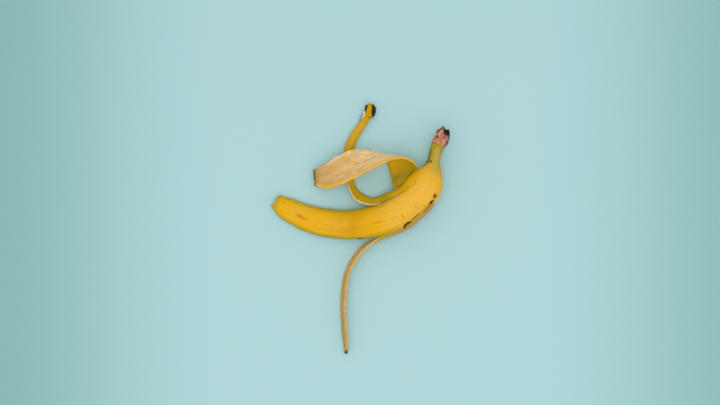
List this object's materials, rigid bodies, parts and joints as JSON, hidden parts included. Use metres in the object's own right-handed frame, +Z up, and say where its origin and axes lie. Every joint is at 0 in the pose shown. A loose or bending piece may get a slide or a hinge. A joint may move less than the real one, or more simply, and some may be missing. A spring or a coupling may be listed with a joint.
{
  "type": "banana peel",
  "caption": "Empty banana peel lying on its side, whole at the stem and shoulder and torn into curling strips below, one folded back over the rest.",
  "frame": {"origin": "centre of the peel's footprint on the surface it lies on", "axes": "+Z up from that surface, +Y from the free end of the thin strip towards the blossom tip, +X towards the stem's side"},
  "size_m": [0.1769, 0.2485, 0.038],
  "materials": {
    "peel_skin": "smooth waxy yellow rind, greener at the neck, with brown marks and torn edges",
    "peel_pith": "soft matt beige inner side with fibres along it",
    "woody_stem": "dry ridged stem end, pinkish brown, with a ragged dark tip",
    "dark_tip": "dry black blossom end"
  },
  "bodies": {
    "root": {"peel": "peel_skin"}
  },
  "joints": []
}
